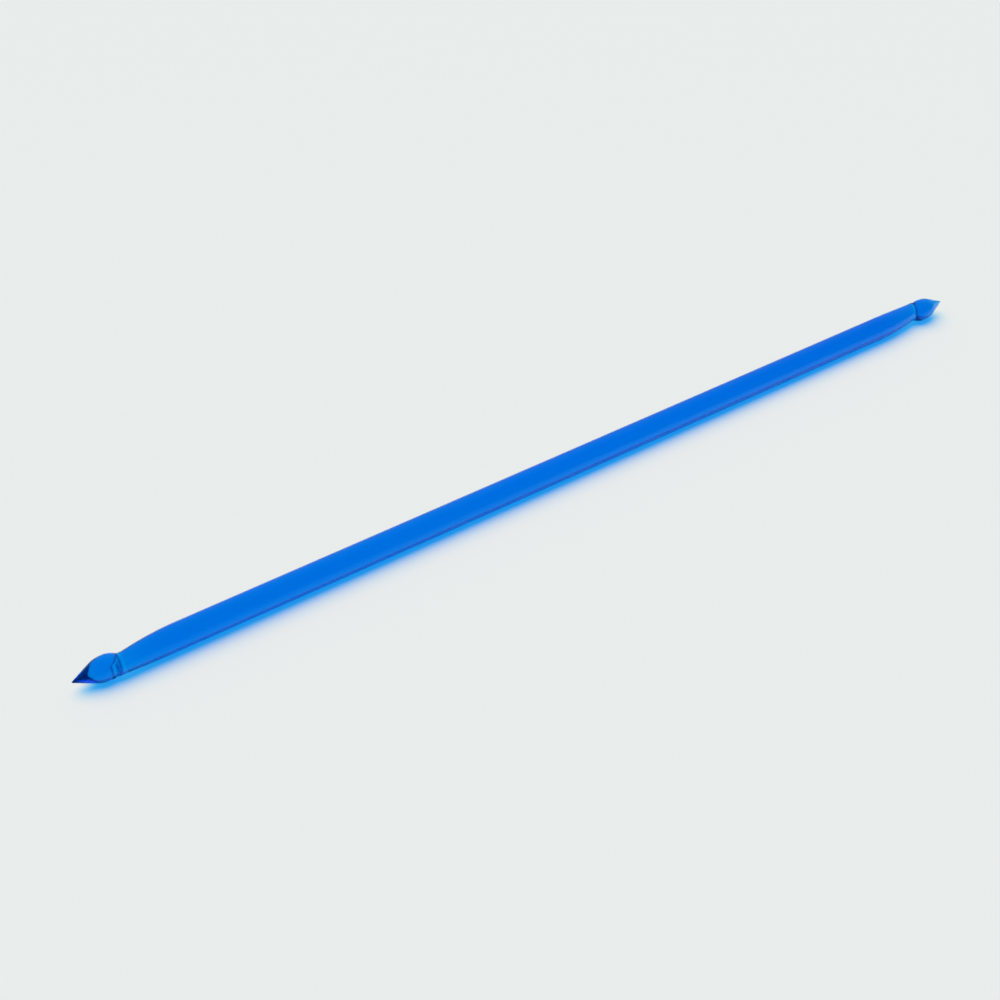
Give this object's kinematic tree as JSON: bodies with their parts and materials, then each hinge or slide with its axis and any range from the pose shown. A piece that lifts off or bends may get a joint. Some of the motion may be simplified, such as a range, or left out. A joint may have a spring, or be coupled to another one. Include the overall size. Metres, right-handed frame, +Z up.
{
  "type": "double-ended crochet hook",
  "caption": "Slim round rod of clear blue acrylic with a pointed in-line hook head and yarn throat at each end, facing opposite ways, for double-ended and circular afghan crochet.",
  "frame": {"origin": "under the middle of the rod, on the surface that it lies on", "axes": "+X along the rod towards the head that opens towards -Y, +Y the way the head at the low-X end opens, +Z up"},
  "size_m": [0.254, 0.006, 0.006],
  "materials": {
    "clear_blue_acrylic": "polished clear acrylic, tinted deep blue through its thickness"
  },
  "bodies": {
    "root": {"crochet_hook": "clear_blue_acrylic"}
  },
  "joints": []
}
